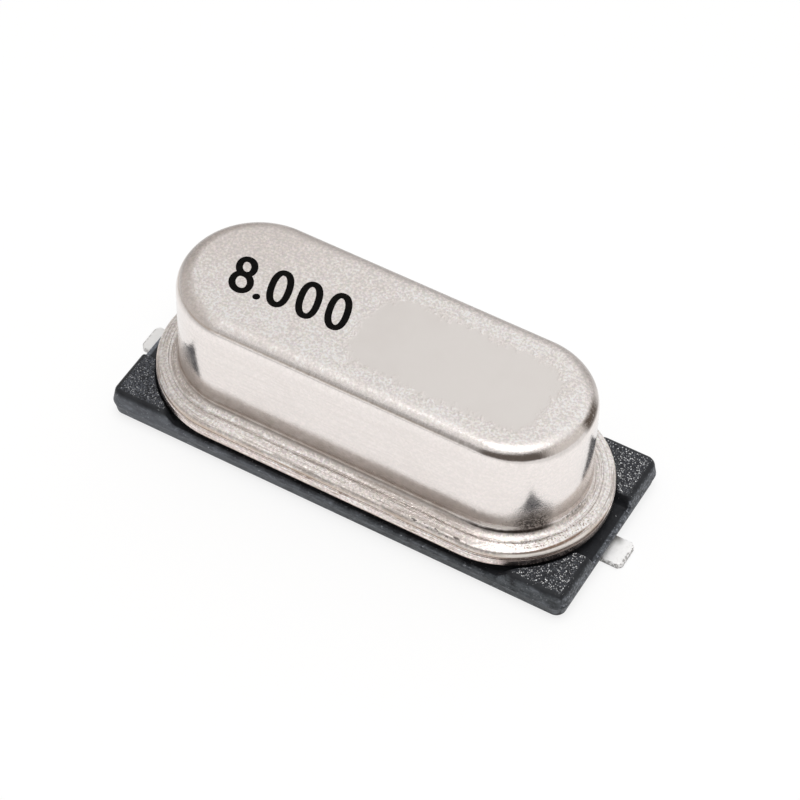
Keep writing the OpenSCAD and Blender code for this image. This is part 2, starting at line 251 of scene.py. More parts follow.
def platedCan():
    v = canFinish
    made, s, place, x, y, z = startFinish("platedCan")
    away, turn = ovalAway(s, x, y), ovalTurn(s, x, y)
    zone = zoned({"x": x, "y": y, "z": z, "away": away, "turn": turn}, canZones)
    top, crown, flange = zone["top"], zone["crown"], zone["flange"]
    fine = noise(s, place, 19.0, 2.0, 0.7)
    coarse = noise(s, place, 7.0)
    broad = noise(s, place, 0.9)

    def ragged(a, b, c):
        return (coarse - 0.5) * a + (broad - 0.5) * b + (fine - 0.5) * c

    # lines drawn by the press, which follow the outline
    lines = drawn(s, (x * 0.5, y * 0.5, away * 17.0 + z * 13.0), 2.0, 0.75)
    hair = drawn(s, (x * 0.8, y * 0.8, away * 30.0 + z * 16.0 + 4.4), 1.0, 0.5)
    pits = drawn(s, (x * 7.0, y * 16.0, z * 10.0), 1.0, 0.6)
    # streaks drawn over the crown, across the outline
    along = x.held(oval["straight"] / -2, oval["straight"] / 2)
    along = along + s.maths("ARCTAN2", x - along, abs(y)) * 1.6
    streaks = drawn(s, (along * 11.0, away * 2.0, z * 2.0), 2.0, 0.6)
    # a rubbed patch on the top, where the grain is nearly flat: a soft rectangle
    u, w = [
        s.maths("MAXIMUM", abs(q - middle) - half, 0.0)
        for q, middle, half in zip((x, y), v["patchMiddle"], v["patchHalf"])
    ]
    patch = s.maths("SQRT", u * u + w * w)
    rubbed = (patch + ragged(0.5, 0.35, 0.25)).between(0.74, 0.50) * top
    grainy = (top * (1.1 - zone["smooth"] * 0.55) + flange * 1.5 + 0.26) * (1.0 - rubbed * 0.95)
    mottle = noise(s, place, 3.2, 2.0, 0.6).between(0.42, 0.68) * top * (1.0 - rubbed)
    coat = Coat(s, v, speckled(s, place, v["plate"], 16.0, grainy * v["speckle"]))
    coat.add(rubbed * 0.9, "patch")
    coat.add(zone["shade"] * 0.55 * top, "dull")
    coat.add(mottle * 0.22, "dull")
    # painted shade: the top darkens toward its rear rim, less at the back left
    paintedRearShade = zone["paintedRearShade"] * (y - x * 0.15).between(-0.3, 0.6) * (1.0 - zone["rearLeft"] * 0.5)
    coat.add(paintedRearShade * (fine * 0.3 + 0.62), "paintedRearShade")
    coat.add(broad.between(0.45, 0.75) * 0.12, "dull")
    wall = zone["wall"] * (1.0 - flange) * (lines.between(0.35, 0.7) * 0.16 + 0.04)
    coat.add(wall * (1.0 - x.between(1.0, 4.0) * 0.6), "dull")
    coat.add(crown * streaks.between(0.5, 0.62) * 0.12, "dull")
    # painted reflection: a dark streak on the crown round the right end
    coat.add(zone["paintedCrownStreak"] * (fine.between(0.3, 0.5) * 0.3 + 0.65), "paintedCrownStreak")
    # painted reflection: a thin dark line where the crown meets the wall, lost toward the right
    paintedCrownLine = z + (streaks - 0.5) * 0.02 + (broad - 0.5) * 0.03
    paintedCrownLine = paintedCrownLine.between(3.675, 3.69, 3.715, 3.735) * zone["paintedCrownLine"]
    coat.add(paintedCrownLine * (coarse.between(0.36, 0.5) * 0.6 + 0.4) * 0.45, "straw")
    # the wall darkens toward its foot, less so just above the flange round the right end; at the
    # right front corner a painted reflection darkens it more
    corner = zone["corner"]
    level = z + ragged(0.25, 0.3, 0.3)
    footLighter = zone["footLighter"] * (1.0 - corner * 0.8)
    foot = (level - corner * 0.15).between(2.08, 1.56) * zone["foot"] * (1.0 - footLighter * 0.85)
    coat.add(foot * 0.82, "foot")
    coat.add(zone["deep"] * (1.0 - footLighter) * (coarse.between(0.3, 0.6) * 0.25 + 0.15), "brown")
    # painted reflection: dark at the right front corner of the foot, faint along the rest of it
    paintedFootReflection = level.between(2.06, 1.72) * (fine.between(0.38, 0.56) * 0.8 + 0.2)
    coat.add(paintedFootReflection * (corner * 0.9 + 0.08) * zone["paintedFootReflection"], "paintedFootReflection")
    # the flange: dull between its lines, with dark hairs and tinted by the weld's heat
    worn = flange * (1.0 - zone["fresh"] * 0.8)
    middle = zone["middle"]
    coat.add(worn * lines.between(0.50, 0.56) * 0.35, "dull")
    sharp = (1.0 - middle * 0.4) * (fine.between(0.36, 0.5) * 0.4 + 0.6)
    sharp = sharp * (1.0 - zone["bright"] * 0.75)
    coat.add(flange * hair.between(0.56, 0.59) * sharp * 0.8, "foot")
    coat.add(worn * fine.between(0.61, 0.68) * (middle * 0.3 + 0.3), "foot")
    dots = noise(s, place, 27.0, 1.0, 0.5).between(0.60, 0.64) * zone["dots"]
    coat.add(dots * flange * 0.8, "brown")
    coat.add(zone["front"] * flange * (lines.between(0.4, 0.6) * 0.3 + 0.35), "foot")
    broken = zone["blackBroken"] * fine.between(0.42, 0.56) * 0.8
    black = zone["black"] * (zone["blackWhole"] + broken)
    coat.add(black * (coarse.between(0.35, 0.5) * 0.25 + 0.55), "pit")
    # the hollow of the flare keeps a thin dark line
    coat.add(zone["hollow"] * (fine.between(0.3, 0.6) * 0.2 + 0.05), "brown")
    # painted shade: a dark line over the rim's roll round the right end
    line = abs(away - z - 1.080 + (turn - 0.52) * 0.13).between(0.055, 0.03) * zone["line"]
    coat.add(line * (fine.between(0.3, 0.5) * 0.25 + 0.7), "brown")
    # painted highlights on the rim's edge round the right end and in a band where the wall flares
    # out, given a bright colour and made less metallic
    paintedHighlight = zone["edge"] + zone["shine"] * 0.8
    coat.add(zone["rim"] * (0.35 + lines.between(0.4, 0.6) * 0.4), "foot")
    coat.add(pits.between(0.57, 0.62) * zone["pit"] * flange * 0.85, "pit")
    coat.add(zone["heat"] * lines.between(0.35, 0.6) * 0.8, "straw")
    coat.add(zone["seam"] * (fine.between(0.3, 0.6) * 0.6 + 0.4), "brown")
    coat.add(paintedHighlight * (fine.between(0.25, 0.45) * 0.4 + 0.5), "paintedHighlight")
    rough = v["wallRoughness"] + top * (v["topRoughness"] - v["wallRoughness"])
    rough = rough + flange * (v["flangeRoughness"] - v["wallRoughness"])
    rough = rough + (coarse - 0.5) * 0.12 + foot * 0.12
    # grit above the foot at both ends, higher up the left one
    bend = ovalTurn(s, abs(x), y)
    left = x.between(0.0, -2.0)
    grit = bend.between(0.3, 0.5) * (bend - left * 0.5).between(1.25, 1.0)
    grit = grit * (z - left * 0.35).between(2.3, 2.0) * z.between(1.4, 1.5) * (left * 0.8 + 1.0)
    rough = rough + grit * 0.06
    height = fine * grainy + lines * flange * 1.6 + coarse * grainy * 0.6 + streaks * crown * 0.5
    height = height + (fine - 0.5) * grit * 0.7
    return endFinish(made, coat, 1.0 - paintedHighlight * 0.85, rough, height)


headerFinish = {
    "plate": (0.92, 0.83, 0.80),
    "dull": (0.62, 0.51, 0.46),
    "brown": (0.30, 0.20, 0.14),
    "paintedShadow": (0.15, 0.115, 0.10),
    "roughness": 0.24,
    "grainDepth": 0.004,
}


def platedHeader():
    v = headerFinish
    made, s, place, x, y, z = startFinish("platedHeader")
    away = ovalAway(s, x, y)
    fine = noise(s, place, 20.0, 2.0, 0.6)
    broad = noise(s, place, 1.6)
    lines = drawn(s, (x * 0.5, y * 0.5, z * 26.0 + away * 12.0), 2.0, 0.6)
    coat = Coat(s, v, speckled(s, place, v["plate"], 14.0, 0.7))
    coat.add(lines.between(0.50, 0.62) * 0.55, "dull")
    coat.add(broad.between(0.45, 0.8) * 0.3, "dull")
    stain = drawn(s, (x * 2.2, y * 2.2, z * 9.0), 3.0, 0.7)
    coat.add(stain.between(0.56, 0.68) * 0.65, "brown")
    # painted shade along the header's lower outer edge
    low = z.between(0.90, 0.83) * away.between(2.15, 2.24)
    coat.add(low * 0.7, "brown")
    # painted shadow, dark under the cover's flange round the right end
    coat.add(ovalTurn(s, x, y).between(0.30, 0.5, 1.5, 1.75) * 0.8, "paintedShadow")
    rough = v["roughness"] + (fine - 0.5) * 0.14
    return endFinish(made, coat, 1.0, rough, fine * 0.8 + lines)


plasticFinish = {
    "dark": (0.011, 0.0115, 0.014),
    "side": (0.10, 0.111, 0.122),
    "scuff": (0.22, 0.235, 0.27),
    "paintedGlint": (0.90, 0.92, 0.94),
    "grey": (0.085, 0.092, 0.11),
    "roughness": 0.5,
    "padRoughness": 0.36,
    "specular": 0.22,
    "grainDepth": 0.014,
}


def mouldedPlastic():
    v = plasticFinish
    made, s, place, x, y, z = startFinish("mouldedPlastic")
    inset = [plateSize[k] / 2 - abs(q) for k, q in (("length", x), ("width", y))]
    inset = s.maths("MINIMUM", *inset)
    pad = z.between(0.785, 0.808) * inset.between(0.15, 0.20)
    outer = inset.between(0.13, 0.08) * z.between(0.79, 0.67)
    fine = noise(s, place, 17.0, 2.0, 0.7)
    cloud = noise(s, place, 5.0, 3.0, 0.65)
    drag = drawn(s, (x * 3.0, y * 3.0, z * 9.0), 3.0, 0.7)
    mottle = cloud * 0.5 + drag * 0.5
    coat = Coat(s, v, v["dark"])
    # mottled all over; low on the sides a lighter grey than the top, a painted sheen
    coat.add(mottle.between(0.28, 0.62) * (outer * 0.85 + 0.15), "side")
    coat.add(outer * drag.between(0.56, 0.7) * 0.6, "scuff")
    # the painted sheen on the sides grows toward the left
    coat.add(outer * x.between(4.0, -5.0) * 0.3, "scuff")
    ends = abs(x).between(5.55, 5.64) * fine.between(0.50, 0.60)
    rims = (ends * 0.7 + fine.between(0.56, 0.68) * 0.4) * outer
    coat.add(s.maths("MINIMUM", rims, 1.0), "scuff")
    # painted glints: the sharpest grains get a bright, metallic colour, with a few stray specks off
    # the pads
    grains = noise(s, place, 34.0, 1.0, 0.6)
    sparse = noise(s, place, 6.0, 1.0, 0.5)
    left = x.between(-2.0, -5.0)
    coat.add(grains.between(0.47, 0.58) * pad * (left * 0.4 + 0.5), "grey")
    chance = axes(cells(s, place, 25.0, "Color"))[0]
    tips = cells(s, place, 25.0, "Distance").between(0.44, 0.25)
    paintedGlint = tips * pad * (sparse.between(0.3, 0.5) * 0.5 + 0.5)
    paintedGlint = paintedGlint * chance * (chance * 0.9 + 0.1) * (1.8 - left * 1.2)
    stray = fine.between(0.70, 0.74) * (1.0 - pad) * 0.6
    paintedGlint = s.maths("MINIMUM", paintedGlint + stray, 1.0)
    coat.add(paintedGlint, "paintedGlint")
    rough = v["roughness"] + (cloud - 0.5) * 0.2 - pad * (v["roughness"] - v["padRoughness"])
    height = fine * 0.5 + grains * pad * 1.5 + cloud * outer * 0.8
    return endFinish(made, coat, paintedGlint * 0.9, rough, height)


tinFinish = {
    "bright": (1.0, 1.0, 1.0),
    "dull": (0.74, 0.735, 0.725),
    "cut": (0.16, 0.145, 0.13),
    "roughness": 0.34,
    "metallic": 0.1,
    "grainDepth": 0.008,
}


def tinnedWire():
    v = tinFinish
    made, s, place, x, y, z = startFinish("tinnedWire")
    grain = noise(s, place, 13.0, 3.0, 0.65)
    cloud = noise(s, place, 3.2)
    drag = drawn(s, (x * 1.2, y * 14.0, z * 14.0), 2.0, 0.6)
    coat = Coat(s, v, v["bright"])
    coat.add(grain.between(0.52, 0.68) * 0.25, "dull")
    coat.add(drag.between(0.5, 0.75) * 0.12, "dull")
    # dulled beside the plate, and broken dark along the sheared edges
    near = abs(x).between(5.95, 5.72) * cloud.between(0.35, 0.6)
    coat.add(near * 0.3, "dull")
    coat.add(x.between(5.0, -5.0) * 0.75, "dull")
    # painted shade on the right lead's back corner next to the plate
    coat.add(near * y.between(0.05, 0.34) * x.between(0.0, 5.0) * 0.75, "cut")
    edge = s.maths("MAXIMUM", abs(x).between(6.045, 6.09), abs(y).between(0.325, 0.352))
    edge = edge * abs(x).between(5.0, 5.3) * grain.between(0.47, 0.56)
    coat.add(edge * (x.between(-5.0, 5.0) * 0.35 + 0.35), "cut")
    rough = v["roughness"] + (grain - 0.5) * 0.25
    return endFinish(made, coat, v["metallic"], rough, grain * 0.9 + drag * 0.4 + edge)


def innerFinish(name, v):
    # For the pieces inside the can: two tones, a grain, and lines along x where asked
    made, s, place, x, y, z = startFinish(name)
    grain = noise(s, place, v["size"], 3.0, 0.6)
    marks = grain
    if "lines" in v:
        marks = drawn(s, (x * v["lines"], y * v["size"], z * v["size"]), 2.0, 0.6)
    coat = Coat(s, v, v["first"])
    coat.add(grain.between(0.35, 0.7), "second")
    coat.add(marks.between(0.5, 0.8) * 0.4, "second")
    return endFinish(made, coat, v["metallic"], v["roughness"] + (marks - 0.5) * 0.2, grain + marks)


inkFinish = {
    "black": (0.002, 0.002, 0.002),
    "worn": (0.008, 0.007, 0.006),
    "roughness": 0.7,
    "specular": 0.06,
    "grainDepth": 0.001,
}


def printedInk():
    v = inkFinish
    made, s, place, *_ = startFinish("printedInk")
    grain = noise(s, place, 22.0, 2.0, 0.6)
    coat = Coat(s, v, v["black"])
    coat.add(grain.between(0.4, 0.75), "worn")
    return endFinish(made, coat, 0.0, v["roughness"] + (grain - 0.5) * 0.2, grain)


finishes = {"can": platedCan(), "header": platedHeader(), "plastic": mouldedPlastic()}
finishes["tin"] = tinnedWire()
finishes["ink"] = printedInk()
print("finishes made")


def meshObject(name, points, faces):
    # From points in millimetres
    data = bpy.data.meshes.new(name)
    data.from_pydata([(x * mm, y * mm, z * mm) for x, y, z in points], [], faces)
    made = bpy.data.objects.new(name, data)
    bpy.context.scene.collection.objects.link(made)
    return made


def settle(piece, finish, smooth=True, merge=1e-7):
    # Closes seams, turns the faces outwards and gives the one finish
    mesh = bmesh.new()
    mesh.from_mesh(piece.data)
    bmesh.ops.remove_doubles(mesh, verts=mesh.verts, dist=merge)
    bmesh.ops.dissolve_degenerate(mesh, edges=mesh.edges, dist=merge)
    bmesh.ops.recalc_face_normals(mesh, faces=mesh.faces)
    for face in mesh.faces:
        face.smooth = smooth
    mesh.to_mesh(piece.data)
    mesh.free()
    piece.data.materials.clear()
    piece.data.materials.append(finish)
    return piece


def baked(piece):
    # The evaluated object as a plain mesh, with its modifiers gone
    graph = bpy.context.evaluated_depsgraph_get()
    plain = bpy.data.meshes.new_from_object(piece.evaluated_get(graph))
    old = piece.data
    piece.modifiers.clear()
    piece.data = plain
    bpy.data.meshes.remove(old)


def roundedLine(corners, step):
    # Points along a line of (away, up, radius, arc steps) corners, held close to each arc's ends
    place = [Vector(corner[:2]) for corner in corners]
    points = [place[0]]

    def run(end):
        # on to the end, with no two points further apart than step
        start = points[-1]
        count = max(1, math.ceil((end - start).length / step))
        points.extend(start.lerp(end, k / count) for k in range(1, count + 1))

    for k in range(1, len(corners)):
        radius, steps = corners[k][2:]
        if not radius:
            run(place[k])
            continue
        toLast, toNext = [(place[n] - place[k]).normalized() for n in (k - 1, k + 1)]
        half = toLast.angle(toNext) / 2
        reach = radius / math.tan(half)
        start = place[k] + toLast * reach
        end = place[k] + toNext * reach
        centre = place[k] + (toLast + toNext).normalized() * (radius / math.sin(half))
        close = min(0.012, reach * 0.3)
        run(start + toLast * close)
        points.append(start)
        sweep = (start - centre).angle_signed(end - centre)
        for n in range(1, steps + 1):
            turned = start - centre
            turned.rotate(Matrix.Rotation(-sweep * n / steps, 2))
            points.append(centre + turned)
        points.append(end + toNext * close)
    return points


def startTree(name, values):
    # A Geometry Nodes tree with an input for each value, of the value's own kind
    kinds = {int: "Int", float: "Float", bpy.types.Object: "Object"}
    tree = bpy.data.node_groups.new(name, "GeometryNodeTree")
    tree.interface.new_socket("Geometry", in_out="OUTPUT", socket_type="NodeSocketGeometry")
    for label, value in values.items():
        kind = "NodeSocket" + kinds.get(type(value), "Geometry")
        tree.interface.new_socket(label, in_out="INPUT", socket_type=kind)
    given = tree.nodes.new("NodeGroupInput")
    return Sock(tree), {o.name: Sock(tree, o) for o in given.outputs if o.name}


def endTree(s, shape):
    s.end("NodeGroupOutput", 0, s.node("GeometryNodeRealizeInstances", {"Geometry": shape}))
    return s.tree


def grown(piece, tree, values):
    # Shapes the piece by a tree, once its inputs are set; floats are lengths in mm
    modifier = piece.modifiers.new("shape", "NODES")
    modifier.node_group = tree
    for item in tree.interface.items_tree:
        value = values.get(item.name)
        if value is not None:
            modifier[item.identifier] = value * mm if isinstance(value, float) else value
    baked(piece)


def roundOval(s, straight, half, turning, along, away):
    # A place round the oval: the half it is on, then its share of the end and of the side
    angle = (turning - 0.5) * math.pi
    sign = 1.0 - half * 2.0
    x = sign * (straight * (0.5 - along) + away * s.maths("COSINE", angle))
    return x, sign * away * s.maths("SINE", angle)


def ovalSweepTree(values):
    # Carries an edge profile round the oval. Fine pressed lines run along it between two levels.
    s, get = startTree("ovalSweep", values)
    ends, sides, count = [get[name] for name in ("End steps", "Side steps", "Profile points")]
    rows = (ends + sides) * 2.0
    sizes = {"Vertices X": rows + 1.0, "Vertices Y": count}
    grid = s.node("GeometryNodeMeshGrid", sizes)
    index = s.node("GeometryNodeInputIndex")
    row = s.maths("FLOOR", (index + 0.5) / count)
    column = index - row * count
    row = s.maths("MODULO", row + 0.25, rows) - 0.25
    perHalf = rows / 2.0
    half = s.maths("FLOOR", (row + 0.25) / perHalf)
    inHalf = row - half * perHalf
    turning = s.maths("MINIMUM", inHalf / ends, 1.0)
    along = s.maths("MAXIMUM", inHalf - ends, 0.0) / sides
    profile = s.node("GeometryNodeObjectInfo", {"Object": get["Profile"]}, "Geometry")
    values = {"Geometry": profile, "Value": s.node("GeometryNodeInputPosition")}
    values["Index"] = s.maths("ROUND", column)
    away, _, up = axes(s.node("GeometryNodeSampleIndex", values, data_type="FLOAT_VECTOR"))
    x, y = roundOval(s, get["Straight"], half, turning, along, away)
    # pressed lines: quick across the profile, slow along the outline
    slow = joined(s, x / get["Sway"], y / get["Sway"], away / get["Line pitch"])
    lines = noise(s, slow, 1.0, 1.0, 0.5) - 0.5
    soft = get["Line fade"]
    fade = s.maths("SMOOTH_MIN", away - get["Lines from"], get["Lines to"] - away, soft)
    fade = (fade / soft).held(0.0, 1.0)
    level = s.maths("GREATER_THAN", up, get["Line floor"])
    level = level * s.maths("LESS_THAN", up, get["Line ceiling"])
    up = up + lines * fade * level * get["Line depth"]
    values = {"Geometry": grid, "Position": joined(s, x, y, up)}
    shaped = s.node("GeometryNodeSetPosition", values)
    closed = s.node("GeometryNodeMergeByDistance", {"Geometry": shaped, "Distance": 1e-8})
    return endTree(s, closed)


def sweptOval(name, corners, finish, values, step):
    points = roundedLine(corners, step)
    profile = meshObject(name + "Profile", [(p.x, 0.0, p.y) for p in points], [])
    piece = meshObject(name, [(0, 0, 0)], [])
    values = {**values, "Profile": profile, "Profile points": len(points)}
    grown(piece, ovalSweepTree(values), values)
    bpy.data.objects.remove(profile)
    print(name, "swept,", len(piece.data.polygons), "faces")
    return settle(piece, finish)


can = {
    "top": 3.886,  # the print stands on it and ends under the can's own height
    "weld": 1.05,
    "sheet": 0.22,
    "crown": 0.4,
    "flare": 0.22,
    "edge": 0.12,
    "flangeFall": 0.06,
    "shoulder": 0.05,
    "shoulderRadius": 0.25,
    "lowerEdge": 0.035,
}
wall, rim = oval["wallRadius"], oval["flangeRadius"]
weld, sheet = can["weld"], can["sheet"]
shelf = weld + sheet
canCorners = [
    (0.0, can["top"], 0.0, 0),
    (wall, can["top"], can["crown"], 28),
    (wall, shelf, can["flare"], 16),
    (wall + can["flare"] + can["shoulder"], shelf, can["shoulderRadius"], 4),
    (rim, shelf - can["flangeFall"], can["edge"], 8),
    (rim, weld, can["lowerEdge"], 5),
    (wall - sheet, weld, can["flare"] + sheet, 10),
    (wall - sheet, can["top"] - sheet, can["crown"] - sheet, 8),
    (0.0, can["top"] - sheet, 0.0, 0),
]
canValues = {
    "Straight": oval["straight"],
    "End steps": 120,
    "Side steps": 90,
    "Line depth": 0.012,
    "Line pitch": 0.035,
    "Line fade": 0.02,
    "Lines from": 1.9,
    "Lines to": 2.27,
    "Line floor": 1.17,
    "Line ceiling": 1.34,
    "Sway": 1.6,
}
canCover = sweptOval("canCoverDrawn", canCorners, finishes["can"], canValues, 0.35)
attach(canCover, "root")
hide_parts("can_cover")

mark = {
    "digits": "8.000",
    "start": (-3.42, -0.14),
    "height": 0.88,
    "width": 0.40,
    "gap": 0.30,
    "pointGap": 0.24,
    "lean": -0.27,
    "climb": 0.055,
    "stroke": 0.155,
    "pointRadius": 0.08525,
    "pointLift": 0.01,
    # an 8's rings: middle, half height, width as shares of a figure's, and how much lower it ends
    "rings": ((0.255, 0.235, 0.88, 0.0), (-0.24, 0.26, 1.05, 0.001)),
    "low": 3.88,
    "high": 3.8885,
}


def band(low, high, around, flip=False):
    # The faces between two rings of points, given by where each ring starts
    ring = [(low + k, high + k) for k in range(around)]
    pairs = zip(ring, ring[1:] + ring[:1])
    return [(a, c, d, b) if flip else (a, b, d, c) for (a, b), (c, d) in pairs]


def drum(x, y, radius, low, high, steps):
    # The points and faces of a closed upright drum
    points = []
    for z in (low, high):
        for k in range(steps):
            a = 2 * math.pi * k / steps
            points.append((x + radius * math.cos(a), y + radius * math.sin(a), z))
    ring = list(range(steps))
    return points, [ring[::-1], [k + steps for k in ring], *band(0, steps, steps, True)]


def softOval(angle, wide, high, square):
    # A point of an oval that grows squarer as the last number grows from 2
    c, q = math.cos(angle), math.sin(angle)
    power = 2 / square
    return math.copysign(abs(c) ** power, c) * wide, math.copysign(abs(q) ** power, q) * high


def leaned(x, y):
    # Where a point of the number stands on the top
    v = mark
    return v["start"][0] + x + v["lean"] * y, v["start"][1] + y + v["climb"] * x


def ringStroke(centre, half, square, sink=0.0):
    # A closed stroke round a soft oval, leaning as the figures do
    v = mark
    steps = 64
    line = []
    for k in range(steps):
        x, y = softOval(2 * math.pi * k / steps, *half, square)
        line.append(Vector(leaned(centre[0] + x, centre[1] + y)))
    points = []
    for k in range(steps):
        ahead = (line[(k + 1) % steps] - line[k - 1]).normalized()
        out = Vector((ahead.y, -ahead.x)) * v["stroke"] / 2
        top = v["high"] - sink
        for side, z in ((1, v["low"]), (1, top), (-1, top), (-1, v["low"])):
            points.append((line[k].x + out.x * side, line[k].y + out.y * side, z))
    rings = [band(4 * k, 4 * ((k + 1) % steps), 4) for k in range(steps)]
    return points, sum(rings, [])


def printedMark():
    v = mark
    w, h = v["width"] / 2, v["height"]
    place = 0.0
    points, faces = [], []
    for figure in v["digits"]:
        if figure == ".":
            place -= v["width"] / 2 + v["gap"] - v["pointGap"]
            dot = leaned(place, -h / 2 + v["pointLift"])
            shapes = [drum(*dot, v["pointRadius"], v["low"], v["high"], 32)]
            place += v["pointGap"] + v["width"] / 2
        elif figure == "8":
            shapes = [
                ringStroke((place, h * middle), (w * wide, h * tall), 2.1, sink)
                for middle, tall, wide, sink in v["rings"]
            ]
            place += v["width"] + v["gap"]
        else:
            shapes = [ringStroke((place, 0.0), (w, h / 2), 2.3)]
            place += v["width"] + v["gap"]
        for more, its in shapes:
            base = len(points)
            points += more
            faces += [tuple(base + k for k in face) for face in its]
    return meshObject("printedFrequency", points, faces)


printed = settle(printedMark(), finishes["ink"], smooth=False, merge=1e-9)
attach(printed, "root")


def beadTree():
    # Small beads thrown out along the weld
    s, get = startTree("weldBeads", beadValues)

    def chance(low, high, shift):
        # a value of its own for each bead
        values = {2: low, 3: high, "ID": index + shift * 1000.0, "Seed": get["Seed"]}
        return s.node("FunctionNodeRandomValue", values, 1)

    index = s.node("GeometryNodeInputIndex")
    share = (index + chance(0.0, 0.9, 0)) / get["Count"] * 2.0
    half = s.maths("FLOOR", share)
    share = share - half
    arc = get["Radius"] * math.pi
    arc = arc / (arc + get["Straight"])
    turning = s.maths("MINIMUM", share / arc, 1.0)
    along = s.maths("MAXIMUM", share - arc, 0.0) / (1.0 - arc)
    away = get["Radius"] - chance(0.0, get["Depth"], 1)
    x, y = roundOval(s, get["Straight"], half, turning, along, away)
    up = get["Level"] + get["Scatter"] * chance(-1.0, 1.0, 2)
    placed = {"Count": get["Count"], "Position": joined(s, x, y, up)}
    ball = {"Radius": get["Bead size"], "Subdivisions": 2}
    values = {"Points": s.node("GeometryNodePoints", placed), "Scale": chance(0.35, 1.0, 3)}
    values["Instance"] = s.node("GeometryNodeMeshIcoSphere", ball)
    return endTree(s, s.node("GeometryNodeInstanceOnPoints", values))


beadValues = {
    "Straight": oval["straight"],
    "Radius": 2.291,
    "Level": 1.085,
    "Scatter": 0.03,
    "Depth": 0.012,
    "Bead size": 0.011,
    "Count": 420,
    "Seed": 5,
}
beads = meshObject("weldBeads", [(0, 0, 0)], [])
grown(beads, beadTree(), beadValues)
settle(beads, finishes["can"])
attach(beads, "root")
print("print and weld beads made")

header = {
    "foot": 1.345,
    "footBottom": 0.52,
    "bottom": 0.80,
    "platform": 1.505,
    "platformTop": 1.45,
    "bend": 0.03,
    "platformEdge": 0.05,
    "lowerEdge": 0.06,
    "upperEdge": 0.055,
}
rim = oval["headerRadius"]
headerCorners = [
    (0.0, header["footBottom"], 0.0, 0),
    (header["foot"], header["footBottom"], header["bend"], 4),
    (header["foot"], header["bottom"], header["bend"], 4),
    (rim, header["bottom"], header["lowerEdge"], 8),
    (rim, weld, header["upperEdge"], 8),
    (header["platform"], weld, header["bend"], 4),
    (header["platform"], header["platformTop"], header["platformEdge"], 4),
    (0.0, header["platformTop"], 0.0, 0),
]
# the header has no pressed lines
headerValues = {**canValues, "End steps": 110, "Side steps": 60, "Line depth": 0.0}
headerPlate = sweptOval("headerPressed", headerCorners, finishes["header"], headerValues, 0.4)


def cutAway(piece, cutters, finish):
    # Takes the cutters' room out of the piece
    for cutter in cutters:
        modifier = piece.modifiers.new("cut", "BOOLEAN")
        modifier.operation = "DIFFERENCE"
        modifier.solver = "EXACT"
        modifier.object = cutter
    baked(piece)
    for cutter in cutters:
        bpy.data.objects.remove(cutter)
    settle(piece, finish, merge=2e-7)


leads = {"pitch": 4.88, "holeRadius": 0.6, "holeBottom": 0.3, "holeTop": 1.7}
hole = (leads["holeRadius"], leads["holeBottom"], leads["holeTop"], 96)
holes = [meshObject("cutter", *drum(side * leads["pitch"] / 2, 0.0, *hole)) for side in (-1, 1)]
cutAway(headerPlate, holes, finishes["header"])
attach(headerPlate, "root")
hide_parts("header_plate")
print("can and header made")

plate = {
    **plateSize,
    "bottom": 0.12,
    "floor": 0.52,
    "pad": 0.82,
    "parting": 0.44,
    "corner": 0.3,
    "upperDraft": 0.04,
    "lowerDraft": 0.06,
    "topEdge": 0.16,
    "recessRadius": 2.355,
    "channelHalf": 0.97,
    "openHalf": 4.2,
    "slope": 0.14,
    "openSlope": 0.42,
    "blend": 0.06,
    "openEdge": 0.025,
    "footEdge": 0.03,
    "flash": 0.012,
    # spacing of the mesh, in x and y where it is coarse, and where it turns fine
    "fine": 0.0165,
    "coarse": (0.13, 0.1),
    "fineFrom": (3.75, 0.7),
}


def eased(t):
    t = min(1.0, max(0.0, t))
    return t * t * (3 - 2 * t)


def plateHeight(x, y):
    # The floor of the recess and of the channel out of it at each end, and the four pads
    v = plate
    beyond = max(abs(x) - oval["straight"] / 2, 0.0)
    away = math.hypot(beyond, y) - v["recessRadius"]
    gentle = (abs(x) - v["openHalf"]) * v["slope"] / v["openSlope"] - v["slope"] / 2
    beside = min(abs(y) - v["channelHalf"], gentle)
    soft = max(v["blend"] - abs(away - beside), 0.0)
    away = min(away, beside) - soft * soft / v["blend"] / 4
    return v["floor"] + (v["pad"] - v["floor"]) * eased(away / v["slope"] + 1.0)


def spread(middle, coarse, end, fine):
    # Grid stations, coarse to the middle and fine from there to the end, mirrored about zero
    half = []
    for first, last, gap in ((0.0, middle, coarse), (middle, end, fine)):
        count = round((last - first) / gap)
        half += [first + (last - first) * k / count for k in range(count)]
    half.append(end)
    return [-q for q in half[:0:-1]] + half


